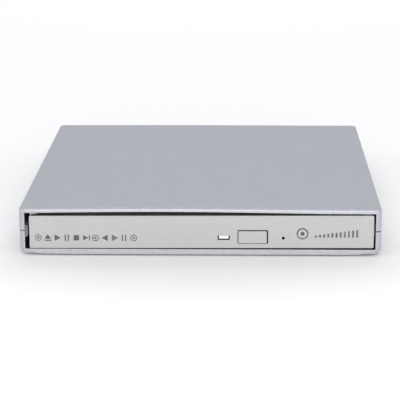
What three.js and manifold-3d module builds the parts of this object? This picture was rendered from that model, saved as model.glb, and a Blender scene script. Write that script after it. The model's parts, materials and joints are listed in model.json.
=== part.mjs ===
// A slim external optical drive: a two-part casing round a tray-loading drive.
// Millimetres. +X is right seen from the front, +Y is the rear, +Z is up.
// The origin is the centre of the footprint, on the surface that the feet stand on.
import * as THREE from "three";
import { mergeVertices } from "three/addons/utils/BufferGeometryUtils.js";
import Module from "manifold-3d";

const wasm = await Module();
wasm.setup();

// ---------------------------------------------------------------- driving dimensions

const caseWidth = 137;
const caseDepth = 142;
const caseHeight = 17.7;
const caseWall = 2.2;
const caseFloor = 2.05;
const caseRoof = 1.75;
const caseCorner = 2.2;
const footHeight = 0.8;
const seamHeight = 9.75;
const seamGap = 0.15;

const sheet = 0.6; // thickness of the drive's steel pan and rails
const panHalfWidth = 64;
const panFront = -68;
const panRear = 58;
const panTop = 14.9;
const lidTop = 15.8;

const bezelX = [-64.6, 65.6];
const bezelY = [-70.8, -68.5];
const bezelZ = [3.1, 15.9];

const trayFront = -68;
const trayRear = 56;
const trayHalfWidth = 62.7;
const deckZ = [10.9, 14.2];
const wellFloor = 11.6;
const wellRadius = 60.8;
const skirtX = [57.5, 59.2];
const skirtBottom = 5;
const fit = 0.3; // running clearance round small moving pieces

const spindleY = -6; // the disc's centre, on the drive's centre line
const discHole = 7.5;
const rodHeight = 7.4;
const rodRadius = 1.2;
const rodOffset = 18; // either side of the pickup's path
const screwOffset = -23.5;
const screwHeight = 7.5;
const lensRadius = 23; // the lens's distance from the spindle at rest

const boardZ = [9.3, 10.3];
const latchPivot = [27, -52];
const latchPost = [46, -46];
const pinhole = [31.5, 7.2];

// ---------------------------------------------------------------- derived dimensions

const caseBottom = footHeight;
const caseTop = caseBottom + caseHeight;
const innerFloor = caseBottom + caseFloor;
const innerRoof = caseTop - caseRoof;
const halfWidth = caseWidth / 2;
const halfDepth = caseDepth / 2;
const innerHalfWidth = halfWidth - caseWall;
const innerRear = halfDepth - caseWall;
const panFloor = bezelZ[0] + sheet;

// ---------------------------------------------------------------- making solids

// A three.js geometry as a solid that can be joined and cut.
function solidOf(geometry) {
  const bare = geometry.clone();
  bare.deleteAttribute("normal");
  bare.deleteAttribute("uv");
  const merged = mergeVertices(bare, 1e-4);
  return new wasm.Manifold(
    new wasm.Mesh({
      numProp: 3,
      vertProperties: merged.attributes.position.array,
      triVerts: new Uint32Array(merged.index.array),
    }),
  );
}

// A solid as a geometry with flat faces.
function geometryOf(solid) {
  const mesh = solid.getMesh();
  const indexed = new THREE.BufferGeometry();
  indexed.setAttribute("position", new THREE.BufferAttribute(mesh.vertProperties, 3));
  indexed.setIndex(new THREE.BufferAttribute(mesh.triVerts, 1));
  const flat = indexed.toNonIndexed();
  flat.computeVertexNormals();
  return flat;
}

function join(...solids) {
  return solids.reduce((whole, next) => whole.add(next));
}

function cut(body, ...tools) {
  return tools.reduce((rest, tool) => rest.subtract(tool), body);
}

// A block between two corners, as three ranges.
function block([x0, x1], [y0, y1], [z0, z1]) {
  const box = new THREE.BoxGeometry(x1 - x0, y1 - y0, z1 - z0);
  box.translate((x0 + x1) / 2, (y0 + y1) / 2, (z0 + z1) / 2);
  return solidOf(box);
}

function extruded(outline, depth, curveSegments = 6) {
  return new THREE.ExtrudeGeometry(outline, { depth, bevelEnabled: false, curveSegments });
}

// An outline in X and Y, thick from z0 to z1.
function plate(outline, [z0, z1], curveSegments) {
  return solidOf(extruded(outline, z1 - z0, curveSegments).translate(0, 0, z0));
}

// An outline of (x, z) points, long from y0 to y1.
function barAlongY(points, [y0, y1]) {
  return solidOf(extruded(polygon(points), y1 - y0).rotateX(Math.PI / 2).translate(0, y1, 0));
}

// An outline of (y, z) points, long from x0 to x1.
function barAlongX(outline, [x0, x1]) {
  return solidOf(
    extruded(outline, x1 - x0, 8)
      .rotateY(Math.PI / 2)
      .rotateX(Math.PI / 2)
      .translate(x0, 0, 0),
  );
}

function polygon(points) {
  return new THREE.Shape(points.map(([x, y]) => new THREE.Vector2(x, y)));
}

function roundedOutline([x0, x1], [y0, y1], radius) {
  const outline = new THREE.Shape();
  outline.moveTo(x0 + radius, y0);
  outline.absarc(x1 - radius, y0 + radius, radius, -Math.PI / 2, 0);
  outline.absarc(x1 - radius, y1 - radius, radius, 0, Math.PI / 2);
  outline.absarc(x0 + radius, y1 - radius, radius, Math.PI / 2, Math.PI);
  outline.absarc(x0 + radius, y0 + radius, radius, Math.PI, 1.5 * Math.PI);
  return outline;
}

// A round bar from (ax, ay) to (bx, by) seen from above, flat from z0 to z1.
function link([ax, ay], [bx, by], radius, zRange) {
  const along = Math.atan2(by - ay, bx - ax);
  const outline = new THREE.Shape();
  outline.absarc(bx, by, radius, along - Math.PI / 2, along + Math.PI / 2);
  outline.absarc(ax, ay, radius, along + Math.PI / 2, along + 1.5 * Math.PI);
  return plate(outline, zRange, 6);
}

function post([x, y], [z0, z1], radius, sides = 20) {
  const round = new THREE.CylinderGeometry(radius, radius, z1 - z0, sides);
  return solidOf(round.rotateX(Math.PI / 2).translate(x, y, (z0 + z1) / 2));
}

function rodAlongX([y, z], [x0, x1], radius, sides = 14) {
  const round = new THREE.CylinderGeometry(radius, radius, x1 - x0, sides);
  return solidOf(round.rotateZ(Math.PI / 2).translate((x0 + x1) / 2, y, z));
}

function rodAlongY([x, z], [y0, y1], radius, sides = 20) {
  const round = new THREE.CylinderGeometry(radius, radius, y1 - y0, sides);
  return solidOf(round.translate(x, (y0 + y1) / 2, z));
}

// A profile of (radius, height) points turned about a line along Z.
function turned(profile, [x, y] = [0, 0], sides = 20) {
  const points = profile.map(([radius, height]) => new THREE.Vector2(radius, height));
  const shape = new THREE.LatheGeometry(points, sides);
  return solidOf(shape.rotateX(Math.PI / 2).translate(x, y, 0));
}

// ---------------------------------------------------------------- the pickup's own frame

// The traverse hangs at 45 degrees: its X runs out from the spindle along the pickup's path.
const traverseTurn = -0.75 * Math.PI;

// A tool drawn in the traverse's frame, set where the tray needs it.
function fromTraverse(geometry) {
  return solidOf(geometry.rotateZ(traverseTurn).translate(0, spindleY, 0));
}

// ---------------------------------------------------------------- finishes and placing

const finishes = {
  silverPaint: [0xb9bbc2, 0.42, 0.55],
  blackPlastic: [0x18191b, 0.55, 0],
  greyPlastic: [0x4a4c50, 0.5, 0],
  zincSteel: [0xb4b6b8, 0.38, 1],
  brightSteel: [0xd0d2d4, 0.2, 1],
  blackSteel: [0x1d1e20, 0.5, 0.6],
  rubber: [0x141414, 0.85, 0],
  greenBoard: [0x1d4a34, 0.5, 0],
  chipBlack: [0x151516, 0.45, 0],
  amberFilm: [0x9a6a28, 0.35, 0],
  clearPlastic: [0xdfe6ea, 0.12, 0],
  copper: [0xa8683c, 0.35, 0.9],
  lensGlass: [0x6f86b0, 0.05, 0],
};

function place(parent, name, solid, finish) {
  const [color, roughness, metalness] = finishes[finish];
  const material = new THREE.MeshStandardMaterial({ color, roughness, metalness });
  const mesh = new THREE.Mesh(geometryOf(solid), material);
  mesh.name = name;
  parent.add(mesh);
  return mesh;
}

// ---------------------------------------------------------------- casing

const footPlaces = {
  foot_front_left: [-57, -58],
  foot_front_right: [57, -58],
  foot_rear_left: [-57, 54],
  foot_rear_right: [57, 54],
};
const footRadius = 4.2;
const caseScrewPlaces = { case_screw_left: [-61, 63.8], case_screw_right: [61, 63.8] };
const boardPostPlaces = [
  [-37, 63.6],
  [53, 63.6],
];
const inletBoardZ = [3.9, 5.1];
const usbX = [-24, -16];
const usbZ = [5.3, 9.2];
const jackCentre = [0, 7.45];

function bottomCover() {
  const shell = plate(
    roundedOutline([-halfWidth, halfWidth], [-halfDepth, halfDepth], caseCorner),
    [caseBottom, seamHeight],
  );
  const inside = block(
    [-innerHalfWidth, innerHalfWidth],
    [-halfDepth - 1, innerRear],
    [innerFloor, seamHeight + 1],
  );
  const footPockets = Object.values(footPlaces).map((place) =>
    post(place, [caseBottom - 1, caseBottom + 0.4], footRadius + fit),
  );
  const screwHoles = Object.values(caseScrewPlaces).map((place) =>
    join(
      post(place, [caseBottom - 1, caseBottom + 1.2], 2.9),
      post(place, [caseBottom, innerFloor + 1], 1.6),
    ),
  );
  const usbMouth = block([usbX[0] - 0.4, usbX[1] + 0.4], [innerRear - 1, halfDepth + 1], [4.95, 9.55]);
  const jackMouth = rodAlongY(jackCentre, [innerRear - 1, halfDepth + 1], 2.1);
  const boardPosts = boardPostPlaces.map((place) =>
    post(place, [innerFloor - 0.2, inletBoardZ[0] - 0.05], 2.4),
  );
  return join(
    cut(shell, inside, ...footPockets, ...screwHoles, usbMouth, jackMouth),
    ...boardPosts,
  );
}

// Each snap tab: its side, and where it starts and ends along the side wall.
const snapTabs = [
  [-1, -70.3, -64],
  [-1, 18, 26],
  [1, -67.5, -61],
  [1, 18, 26],
];
const tabInner = 65.2;
const tabBottom = 7.1;
const tabTop = 12.1;

function snapTab([side, y0, y1]) {
  const hanging = block([tabInner, innerHalfWidth - fit], [y0, y1], [tabBottom, tabTop]);
  const root = block([tabInner, innerHalfWidth + 0.2], [y0, y1], [seamHeight + seamGap, tabTop]);
  const tab = join(hanging, root);
  return side < 0 ? tab.mirror([1, 0, 0]) : tab;
}

function topCover() {
  const shell = plate(
    roundedOutline([-halfWidth, halfWidth], [-halfDepth, halfDepth], caseCorner),
    [seamHeight + seamGap, caseTop],
  );
  const inside = block(
    [-innerHalfWidth, innerHalfWidth],
    [-halfDepth - 1, innerRear],
    [seamHeight, innerRoof],
  );
  const bosses = Object.values(caseScrewPlaces).map((place) =>
    cut(post(place, [innerFloor + fit, innerRoof + 0.2], 3), post(place, [innerFloor, 11], 1.5)),
  );
  return join(cut(shell, inside), ...bosses, ...snapTabs.map(snapTab));
}

function foot() {
  return turned([
    [0, 0],
    [footRadius - 0.5, 0],
    [footRadius, 0.35],
    [footRadius, caseBottom + 0.3],
    [0, caseBottom + 0.3],
  ]);
}

function caseScrew() {
  const body = turned([
    [0, 0.95],
    [2.4, 0.95],
    [2.6, 1.9],
    [1.15, 1.9],
    [1.15, 10],
    [0, 10.6],
  ]);
  const slot = [-1.4, 1.4];
  const slotWidth = [-0.3, 0.3];
  const slotDepth = [0.5, 1.45];
  return cut(body, block(slot, slotWidth, slotDepth), block(slotWidth, slot, slotDepth));
}

function buildCasing(parent) {
  place(parent, "bottom_cover", bottomCover(), "silverPaint");
  place(parent, "top_cover", topCover(), "silverPaint");
  for (const [name, [x, y]] of Object.entries(footPlaces)) {
    place(parent, name, foot(), "rubber").position.set(x, y, 0);
  }
  for (const [name, [x, y]] of Object.entries(caseScrewPlaces)) {
    place(parent, name, caseScrew(), "blackSteel").position.set(x, y, 0);
  }
}

// ---------------------------------------------------------------- rear inlets

const plugX = [11, 51];

function inletBoard() {
  return block([-40, 56], [58.9, 68.3], inletBoardZ);
}

function usbSocket() {
  const [x0, x1] = usbX;
  const [z0, z1] = usbZ;
  const shell = block([x0, x1], [61, 70.2], [z0, z1]);
  const mouth = block([x0 + 0.4, x1 - 0.4], [63, 71], [z0 + 0.4, z1 - 0.4]);
  const tongue = block([x0 + 1.6, x1 - 1.6], [62.5, 69], [z0 + 1.5, z0 + 2.3]);
  return join(cut(shell, mouth), tongue);
}

function powerJack() {
  const [x, z] = jackCentre;
  const body = block([x - 3, x + 3], [61, 68.5], [inletBoardZ[1] + 0.1, z + 2.3]);
  const barrel = rodAlongY(jackCentre, [68, 70.4], 1.9);
  return cut(join(body, barrel), rodAlongY(jackCentre, [62.5, 72], 1.45, 16));
}

function drivePlug() {
  const body = block(plugX, [58.9, 64], [inletBoardZ[1] + 0.1, 9.4]);
  const tongue = block([plugX[0] + 2, plugX[1] - 2], [54.2, 59], [6.7, 7.5]);
  return join(body, tongue);
}

function buildInlets(parent) {
  place(parent, "inlet_board", inletBoard(), "greenBoard");
  place(parent, "inlet_chip", block([-36, -28], [60, 67], [5.15, 6.2]), "chipBlack");
  place(parent, "usb_socket", usbSocket(), "brightSteel");
  place(parent, "power_jack", powerJack(), "blackPlastic");
  place(parent, "jack_pin", rodAlongY(jackCentre, [62.7, 69.6], 0.5, 10), "brightSteel");
  place(parent, "drive_plug", drivePlug(), "blackPlastic");
}

// ---------------------------------------------------------------- drive shell

const lidScrewY = 45;
const lidScrewZ = 12.6;
const socketX = [10, 52];

function drivePan() {
  const walls = [-panHalfWidth, panHalfWidth];
  const outside = block(walls, [panFront, panRear], [bezelZ[0], panTop]);
  const inside = block(
    [walls[0] + sheet, walls[1] - sheet],
    [panFront - 1, panRear - sheet],
    [panFloor, panTop + 1],
  );
  const socketCutout = block([socketX[0] - 1, socketX[1] + 1], [panRear - 1, panRear + 1], [4.2, 10.2]);
  const screwHoles = rodAlongX([lidScrewY, lidScrewZ], [-70, 70], 1.3);
  const floorHoles = [
    [-30, 30],
    [-42, -30],
    [20, -40],
  ].map((place) => post(place, [bezelZ[0] - 1, panFloor + 1], 4));
  return cut(outside, inside, socketCutout, screwHoles, ...floorHoles);
}

function driveLid() {
  const flange = panHalfWidth + 0.7;
  const outside = block([-flange, flange], [panFront + 0.2, panRear], [9.9, lidTop]);
  const inside = block([0.55 - flange, flange - 0.55], [panFront - 1, panRear + 1], [9, lidTop - 0.5]);
  return cut(outside, inside, rodAlongX([lidScrewY, lidScrewZ], [-70, 70], 1.3));
}

function lidScrew(side) {
  const shank = rodAlongX([lidScrewY, lidScrewZ], [63, 65], 1);
  const head = rodAlongX([lidScrewY, lidScrewZ], [64.8, 65.4], 1.9, 18);
  const slot = block([65.1, 66], [lidScrewY - 1.2, lidScrewY + 1.2], [lidScrewZ - 0.25, lidScrewZ + 0.25]);
  const screw = cut(join(shank, head), slot);
  return side < 0 ? screw.mirror([1, 0, 0]) : screw;
}

const guideOutline = [
  [60.9, 4.1],
  [63.2, 4.1],
  [63.2, 10.6],
  [60.9, 10.6],
  [60.9, 9.9],
  [62.4, 9.9],
  [62.4, 5.3],
  [60.9, 5.3],
];
const railOutline = [
  [59.8, 5.6],
  [62.1, 5.6],
  [62.1, 9.6],
  [59.8, 9.6],
  [59.8, 9.1],
  [61.5, 9.1],
  [61.5, 6.1],
  [59.8, 6.1],
];

function sidePiece(outline, yRange, side) {
  const piece = barAlongY(outline, yRange);
  return side < 0 ? piece.mirror([1, 0, 0]) : piece;
}

function rearSocket() {
  const body = block(socketX, [50.5, panRear - 0.1], [4.9, 9.6]);
  return cut(body, block([socketX[0] + 2.7, socketX[1] - 2.7], [53.5, 60], [6.3, 7.9]));
}

function latchPostPin() {
  return turned(
    [
      [0, panFloor + 0.05],
      [2.1, panFloor + 0.05],
      [2.1, 4.3],
      [1, 4.3],
      [1, 8],
      [0, 8],
    ],
    latchPost,
    16,
  );
}

// The ribbon lies on the pan, turns over in a roll and comes back under the tray's board.
function flexRibbon() {
  const thickness = 0.15;
  const lowerLeg = 3.8;
  const upperLeg = 6.55;
  const rollY = -24;
  const lowerEnd = 46.8;
  const upperEnd = 40;
  const centre = (lowerLeg + upperLeg) / 2;
  const outer = centre - lowerLeg;
  const inner = outer - thickness;
  const outline = new THREE.Shape();
  outline.moveTo(upperEnd, upperLeg);
  outline.absarc(rollY, centre, outer, 0.5 * Math.PI, 1.5 * Math.PI, false);
  outline.lineTo(lowerEnd, lowerLeg);
  outline.lineTo(lowerEnd, lowerLeg + thickness);
  outline.absarc(rollY, centre, inner, 1.5 * Math.PI, 0.5 * Math.PI, true);
  outline.lineTo(upperEnd, upperLeg - thickness);
  return barAlongX(outline, [25.5, 37.5]);
}

function buildDriveShell(parent) {
  place(parent, "drive_pan", drivePan(), "zincSteel");
  place(parent, "drive_lid", driveLid(), "zincSteel");
  for (const [hand, side] of [
    ["left", -1],
    ["right", 1],
  ]) {
    place(parent, `lid_screw_${hand}`, lidScrew(side), "brightSteel");
    place(parent, `rail_guide_${hand}`, sidePiece(guideOutline, [-66, 56], side), "blackPlastic");
    place(parent, `slide_rail_${hand}`, sidePiece(railOutline, [-62, 56], side), "zincSteel");
  }
  place(parent, "connector_board", block([6, 55], [47.2, 57.2], [4.1, 4.75]), "greenBoard");
  place(parent, "rear_socket", rearSocket(), "blackPlastic");
  place(parent, "latch_post", latchPostPin(), "brightSteel");
  place(parent, "flex_ribbon", flexRibbon(), "amberFilm");
}

// ---------------------------------------------------------------- tray

const windowX = [6.8, 11.2];
const windowZ = [6.45, 8.2];
const buttonX = [14.4, 25.5];
const buttonZ = [5.1, 10.2];
const lugPlaces = [-42, 48];
const lugZ = [12, 13.4];
const slotHalfWidth = 7.5;
const slotEnd = 64;
const dampers = {
  damper_inner_left: [-16, -24.3],
  damper_inner_right: [-16, 24.3],
  damper_outer: [50, 24.3],
};

// The opening in the disc well that the traverse looks through, drawn in the traverse's frame.
function traverseOpening(inset, zRange) {
  const [z0, z1] = zRange;
  const sides = new THREE.BoxGeometry(84 - inset, 42 - 2 * inset, z1 - z0);
  sides.translate((84 + inset) / 2 - 20, 0, (z0 + z1) / 2);
  return fromTraverse(sides).intersect(post([0, spindleY], zRange, 59.5 - inset, 56));
}

function lensSlot(halfSlot, zRange) {
  const [z0, z1] = zRange;
  const slot = new THREE.BoxGeometry(slotEnd, 2 * halfSlot, z1 - z0);
  return fromTraverse(slot.translate(slotEnd / 2, 0, (z0 + z1) / 2));
}

function trayMoulding() {
  const deck = plate(roundedOutline([-trayHalfWidth, trayHalfWidth], [trayFront, trayRear], 1.5), deckZ);
  const well = post([0, spindleY], [wellFloor, deckZ[1] + 1], wellRadius, 72);
  const opening = traverseOpening(0, [deckZ[0] - 1, wellFloor + 1]);
  const slot = lensSlot(8.5, [deckZ[0] - 1, deckZ[1] + 1]);
  const lugPockets = lugPlaces.map((x) =>
    block([x - 2.5, x + 2.5], [trayFront - 1, trayFront + 1.5], [lugZ[0] - fit, lugZ[1] + fit]),
  );
  const top = deckZ[0] + 0.1;
  const frontWall = block([-skirtX[1], skirtX[1]], [trayFront, trayFront + 1.8], [4.6, top]);
  const frontHoles = [
    block([windowX[0] - 0.6, windowX[1] + 0.6], [-69, -66], [windowZ[0] - 0.6, windowZ[1] + 0.6]),
    block([buttonX[0] - 1.6, buttonX[1] + 1.6], [-69, -67], [4, 11.2]),
    block([17.4, 22.6], [-69, -66], [6, 9.3]),
    rodAlongY(pinhole, [-69, -66], 1.2),
  ];
  const rearRib = block([-skirtX[0] - 0.2, 4], [46.6, 48.2], [skirtBottom, top]);
  const skirts = [-1, 1].flatMap((side) => {
    const skirt = block(skirtX, [trayFront + 1, 52], [skirtBottom, top]);
    const runner = block([skirtX[1] - 0.2, 61.2], [trayFront + 2, 52], [6.4, 8.8]);
    const both = join(skirt, runner);
    return side < 0 ? both.mirror([1, 0, 0]) : both;
  });
  const latchPin = post(latchPivot, [skirtBottom, top], 1.2, 14);
  const frame = join(deck, frontWall, rearRib, ...skirts, latchPin);
  return cut(frame, well, opening, slot, ...lugPockets, ...frontHoles);
}

function bezel() {
  const plateBody = block(bezelX, bezelY, bezelZ);
  const lugs = lugPlaces.map((x) => block([x - 2.2, x + 2.2], [bezelY[1] - 0.2, trayFront + 1.2], lugZ));
  const windowHole = block(
    [windowX[0] - 0.25, windowX[1] + 0.25],
    [-72, -67],
    [windowZ[0] - 0.25, windowZ[1] + 0.25],
  );
  const buttonHole = block(
    [buttonX[0] - fit, buttonX[1] + fit],
    [-72, -67],
    [buttonZ[0] - fit, buttonZ[1] + fit],
  );
  return cut(
    join(plateBody, ...lugs),
    windowHole,
    buttonHole,
    rodAlongY(pinhole, [-72, -67], 0.6, 12),
  );
}

function ejectButton() {
  const cap = block(buttonX, [-71, -68], buttonZ);
  const flange = block([buttonX[0] - 1, buttonX[1] + 1], [-68.2, -67.7], [4.5, 10.8]);
  const stem = block([18.1, 21.9], [-67.9, -65.3], [6.6, 8.7]);
  return join(cap, flange, stem);
}

function ejectSwitch() {
  const body = block([17.2, 22.8], [-64.2, -61.2], [5.8, boardZ[0] - 0.05]);
  const plunger = block([18.8, 21.2], [-64.7, -64.1], [6.9, 8.3]);
  return join(body, plunger);
}

function trayBoard() {
  const outline = polygon([
    [4, -65.6],
    [57, -65.6],
    [57, 46],
    [-2, 46],
    [-2, 36],
    [36, -2],
    [36, -13],
    [7, -42],
    [4, -42],
  ]);
  return cut(plate(outline, boardZ), post(latchPivot, [9, 11], 1.8));
}

function trayShield() {
  const outline = polygon([
    [-57.2, -65.8],
    [13.5, -65.8],
    [13.5, 46.2],
    [-57.2, 46.2],
  ]);
  const slots = [-48, -42, -36].map((x) => block([x, x + 2.5], [18, 40], [4, 5]));
  return cut(plate(outline, [4.4, 4.8]), post([0, spindleY], [4, 5], 5), ...slots);
}

function deckCover() {
  const thickness = [11, 11.4];
  const cutter = [10, 12];
  return cut(
    traverseOpening(0.5, thickness),
    post([0, spindleY], cutter, 15.6, 40),
    lensSlot(slotHalfWidth, cutter),
  );
}

function solenoid() {
  const coil = block([6.5, 15.3], [-52, -42], [5, 9.1]);
  return join(coil, rodAlongX([-47.3, 7], [15, 16.6], 0.9, 12));
}

function latchLever() {
  const thickness = [5.9, 7.6];
  const elbow = [42, -41.6];
  const arms = join(
    post(latchPivot, thickness, 2.7),
    link(latchPivot, elbow, 1.5, thickness),
    link(elbow, [46.5, -43.3], 0.9, thickness),
    link(latchPivot, [20, -47.5], 1.2, thickness),
    link(latchPivot, [31.5, -57.2], 1.1, thickness),
  );
  return cut(arms, post(latchPivot, [5, 9], 1.5, 14));
}

function latchSpring() {
  const coil = post(latchPivot, [7.75, 9.05], 2.4, 20);
  const leg = link([latchPivot[0] + 1.8, latchPivot[1] + 1.6], [35, -45.6], 0.3, [8.2, 8.8]);
  return cut(join(coil, leg), post(latchPivot, [7, 10], 1.55, 14));
}

function buildTray(parent) {
  place(parent, "tray", trayMoulding(), "blackPlastic");
  place(parent, "bezel", bezel(), "silverPaint");
  place(parent, "eject_button", ejectButton(), "silverPaint");
  place(parent, "light_window", block([windowX[0], windowX[1]], [-70.9, -64.9], windowZ), "clearPlastic");
  place(parent, "activity_lamp", block([7.6, 10.4], [-64.5, -62.9], [6.4, boardZ[0] - 0.05]), "clearPlastic");
  place(parent, "eject_switch", ejectSwitch(), "blackPlastic");
  place(parent, "tray_board", trayBoard(), "greenBoard");
  place(parent, "controller_chip", block([18, 32], [14, 28], [8, boardZ[0] - 0.05]), "chipBlack");
  place(parent, "ribbon_socket", block([22, 38], [40.3, 45.3], [6.7, boardZ[0] - 0.05]), "greyPlastic");
  place(parent, "tray_shield", trayShield(), "zincSteel");
  place(parent, "deck_cover", deckCover(), "blackSteel");
  place(parent, "solenoid", solenoid(), "copper");
  place(parent, "latch_lever", latchLever(), "greyPlastic");
  place(parent, "latch_spring", latchSpring(), "brightSteel");
}

// ---------------------------------------------------------------- traverse, in its own frame

const frameZ = [10.25, 10.8];
const lugBottom = 5.4;

function traverseFrame() {
  const outline = polygon([
    [-19.5, -27.5],
    [52.5, -27.5],
    [64.5, -15.5],
    [64.5, 18.5],
    [55.5, 27.5],
    [-19.5, 27.5],
  ]);
  const cutter = [frameZ[0] - 1, frameZ[1] + 1];
  const window = join(
    post([0, 0], cutter, 15.2, 28),
    block([0, slotEnd - 1], [-9.5, 9.5], cutter),
  );
  const damperHoles = Object.values(dampers).map((place) => post(place, cutter, 2, 14));
  const lugZRange = [lugBottom, frameZ[0] + 0.1];
  const lugs = [
    block([-14.3, -12.7], [-rodOffset - 2.5, -rodOffset + 2.5], lugZRange),
    block([58.3, 59.6], [-rodOffset - 2.5, -rodOffset + 2.5], lugZRange),
    block([-14.3, -12.7], [rodOffset - 2.5, rodOffset + 2.5], lugZRange),
    block([61.3, 62.6], [rodOffset - 2.5, rodOffset + 2.5], lugZRange),
    block([54.3, 55.5], [screwOffset - 1.7, screwOffset + 1.7], lugZRange),
    cut(
      block([4.8, 5.8], [screwOffset - 2.6, screwOffset + 2.6], lugZRange),
      rodAlongX([screwOffset, screwHeight], [4, 7], 1.4),
    ),
  ];
  return join(cut(plate(outline, frameZ), window, ...damperHoles), ...lugs);
}

function damper() {
  return turned(
    [
      [0, 8.4],
      [2.5, 8.4],
      [2.5, 9.9],
      [1.65, 9.9],
      [1.65, 10.85],
      [0, 10.85],
    ],
    [0, 0],
    16,
  );
}

const motorSide = [4.5, -8];

function sledMotor() {
  return rodAlongX([screwOffset, screwHeight], [motorSide[1], motorSide[0]], 2.6, 20);
}

function leadScrew() {
  return rodAlongX([screwOffset, screwHeight], [motorSide[0] + 0.3, 54], 1, 12);
}

const baseZ = [5.2, 6];

function spindleBase() {
  const bearing = post([0, 0], [baseZ[0], 9.3], 3.3, 18);
  const stands = [
    [-12.4, -12.4],
    [-17.5, 0],
    [-12.4, 12.4],
  ].map((place) => join(post(place, [baseZ[0], frameZ[0] - 0.05], 1.5, 10), link([0, 0], place, 1.5, baseZ)));
  const bore = post([0, 0], [baseZ[1], 10], 1.5, 14);
  return cut(join(post([0, 0], baseZ, 14.6, 32), bearing, ...stands), bore);
}

function spindleStator() {
  const core = cut(post([0, 0], [6.4, 8.9], 5.2), post([0, 0], [6, 10], 3.8));
  const teeth = Array.from({ length: 9 }, (_, index) => {
    const arm = new THREE.BoxGeometry(6.4, 1.8, 2.5).translate(7.8, 0, 7.65);
    return solidOf(arm.rotateZ((index * 2 * Math.PI) / 9));
  });
  return join(core, ...teeth);
}

function spindleRotor() {
  return turned(
    [
      [0, 6.3],
      [1.2, 6.3],
      [1.2, 9.8],
      [12.2, 9.8],
      [12.2, 6.6],
      [13, 6.6],
      [13, 10.6],
      [0, 10.6],
    ],
    [0, 0],
    36,
  );
}

function turntable() {
  return turned(
    [
      [0, 10.65],
      [6, 10.65],
      [6, 11.5],
      [13.6, 11.5],
      [14.3, 11.9],
      [14.3, 12.35],
      [0, 12.35],
    ],
    [0, 0],
    40,
  );
}

function discPad() {
  return turned(
    [
      [10.2, 12.4],
      [14.1, 12.4],
      [14.1, 12.9],
      [10.2, 12.9],
      [10.2, 12.4],
    ],
    [0, 0],
    40,
  );
}

function discHub() {
  const body = turned(
    [
      [0, 12.4],
      [discHole - 0.2, 12.4],
      [discHole - 0.2, 13.9],
      [discHole - 1.4, 14.9],
      [0, 14.9],
    ],
    [0, 0],
    30,
  );
  const claws = [0, 1, 2].flatMap((index) =>
    [-1, 1].map((side) => {
      const slit = new THREE.BoxGeometry(4.5, 0.4, 4).translate(5.8, side * 1.5, 14.6);
      return solidOf(slit.rotateZ((index * 2 * Math.PI) / 3));
    }),
  );
  return cut(body, ...claws);
}

function carriage() {
  const lens = lensRadius;
  const halfBody = 15;
  const body = block([lens - 8, lens + 3.5], [-halfBody, halfBody], [6.3, 9.9]);
  const mainArm = block([lens - 21, lens - 0.5], [-rodOffset - 2.2, -halfBody + 0.1], [5.4, 9.4]);
  const subArm = block([lens - 5, lens + 1], [halfBody - 0.1, rodOffset + 2.2], [5.4, 9.4]);
  const head = block([lens - 5.5, lens + 4.5], [-7, 7], [9.8, 11.1]);
  const lensWell = block([lens - 3.8, lens + 3.8], [-4.8, 4.8], [8.7, 12]);
  const mainBore = rodAlongX([-rodOffset, rodHeight], [0, 60], rodRadius + fit, 16);
  const subSlot = block([0, 60], [rodOffset - rodRadius - fit, rodOffset + 5], [6, 8.8]);
  return cut(join(body, mainArm, subArm, head), lensWell, mainBore, subSlot);
}

function lensHolder() {
  const plateBody = block([lensRadius - 3.4, lensRadius + 3.4], [-4.4, 4.4], [9.4, 11.6]);
  return cut(plateBody, post([lensRadius, 0], [10.9, 12], 2.3, 18));
}

function lens() {
  return turned(
    [
      [0, 11],
      [2, 11],
      [2, 11.5],
      [1.5, 12],
      [0.8, 12.25],
      [0, 12.3],
    ],
    [lensRadius, 0],
    20,
  );
}

function buildTraverse(parent) {
  const traverse = new THREE.Group();
  traverse.position.set(0, spindleY, 0);
  traverse.rotation.z = traverseTurn;
  parent.add(traverse);
  place(traverse, "traverse_frame", traverseFrame(), "zincSteel");
  for (const [name, [x, y]] of Object.entries(dampers)) {
    place(traverse, name, damper(), "rubber").position.set(x, y, 0);
  }
  const rodEnds = { main_rod: [-1, 58], sub_rod: [1, 61] };
  for (const [name, [side, end]] of Object.entries(rodEnds)) {
    const rod = rodAlongX([side * rodOffset, rodHeight], [-12.4, end], rodRadius, 14);
    place(traverse, name, rod, "brightSteel");
  }
  place(traverse, "sled_motor", sledMotor(), "brightSteel");
  place(traverse, "lead_screw", leadScrew(), "brightSteel");
  place(traverse, "spindle_base", spindleBase(), "zincSteel");
  place(traverse, "spindle_stator", spindleStator(), "copper");
  place(traverse, "spindle_rotor", spindleRotor(), "brightSteel");
  place(traverse, "turntable", turntable(), "blackPlastic");
  place(traverse, "disc_pad", discPad(), "rubber");
  place(traverse, "disc_hub", discHub(), "greyPlastic");
  place(traverse, "pickup_carriage", carriage(), "greyPlastic");
  place(traverse, "lead_nut", block([lensRadius - 14, lensRadius - 8], [-22.2, -20.4], [6.2, 8.8]), "clearPlastic");
  place(traverse, "lens_holder", lensHolder(), "blackPlastic");
  place(traverse, "lens", lens(), "lensGlass");
}

// ---------------------------------------------------------------- the whole drive

const opticalDrive = new THREE.Group();
buildCasing(opticalDrive);
buildInlets(opticalDrive);
buildDriveShell(opticalDrive);
buildTray(opticalDrive);
buildTraverse(opticalDrive);

export default opticalDrive;
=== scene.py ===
import json
import math
import bmesh
import bpy
from mathutils import Matrix, Vector

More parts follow.
